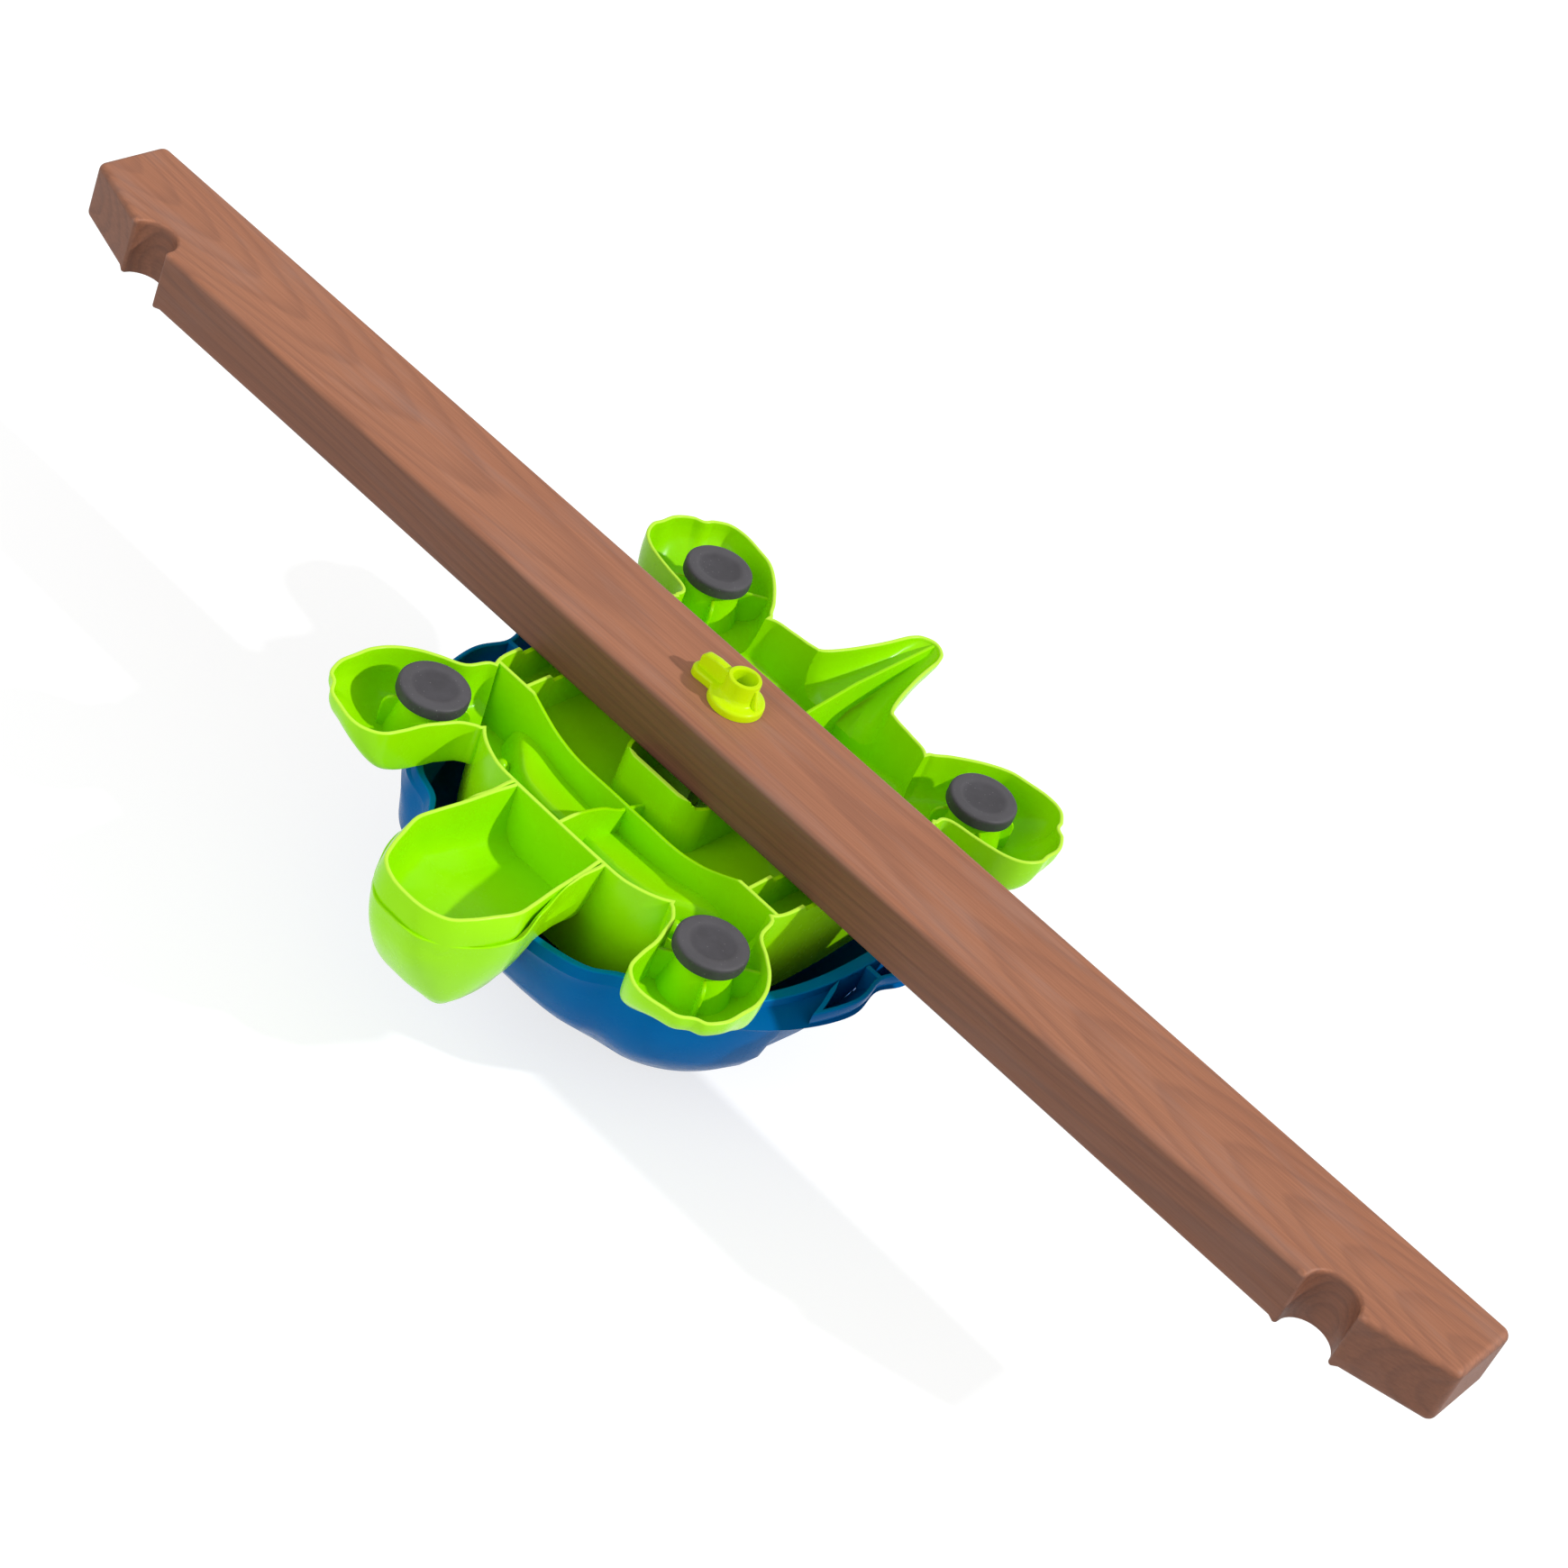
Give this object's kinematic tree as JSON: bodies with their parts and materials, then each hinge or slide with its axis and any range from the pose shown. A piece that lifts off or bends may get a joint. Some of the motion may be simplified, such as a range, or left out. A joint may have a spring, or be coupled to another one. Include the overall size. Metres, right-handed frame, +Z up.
{
  "type": "rocking balance board",
  "caption": "Timber balance beam clamped by a wing knob across an upturned plastic turtle whose domed shell rocks on the floor, with rubber pads on its feet.",
  "frame": {"origin": "on the floor under the bolt, at the middle of the shell's flat crown", "axes": "+X along the beam, +Y towards the turtle's tail, +Z up"},
  "size_m": [1.36, 0.5724, 0.2743],
  "materials": {
    "stained_wood": "satin, rounded edges worn pale",
    "lime_plastic": "gloss",
    "knob_plastic": "gloss",
    "blue_plastic": "semi-gloss",
    "dark_rubber": "matte",
    "steel": "zinc plated"
  },
  "bodies": {
    "turtle": {"turtle_body": "lime_plastic", "shell": "blue_plastic", "foot_pad_front_left": "dark_rubber", "foot_pad_front_right": "dark_rubber", "foot_pad_rear_left": "dark_rubber", "foot_pad_rear_right": "dark_rubber", "shell_screw_1": "steel", "shell_screw_2": "steel", "shell_screw_3": "steel", "shell_screw_4": "steel", "shell_screw_5": "steel", "shell_screw_6": "steel", "clamp_bolt": "steel"},
    "beam": {"beam": "stained_wood"},
    "knob_washer": {"knob_washer": "steel"},
    "knob": {"clamp_knob": "knob_plastic", "knob_nut": "steel"}
  },
  "joints": [
    {"name": "beam_lift", "type": "slide", "parent": "turtle", "child": "beam", "axis": [0, 0, 1], "range_m": [0, 0.08]},
    {"name": "knob_rise", "type": "slide", "parent": "beam", "child": "knob_washer", "axis": [0, 0, 1], "range_m": [0, 0.01]},
    {"name": "knob_turn", "type": "hinge", "parent": "knob_washer", "child": "knob", "pos_m": [0, 0, 0.2503], "axis": [0, 0, 1], "range_deg": [0, 2880]}
  ],
  "couplings": [
    {"joint": "knob_rise", "follows": "knob_turn", "m_per_rad": 0.00019894}
  ]
}
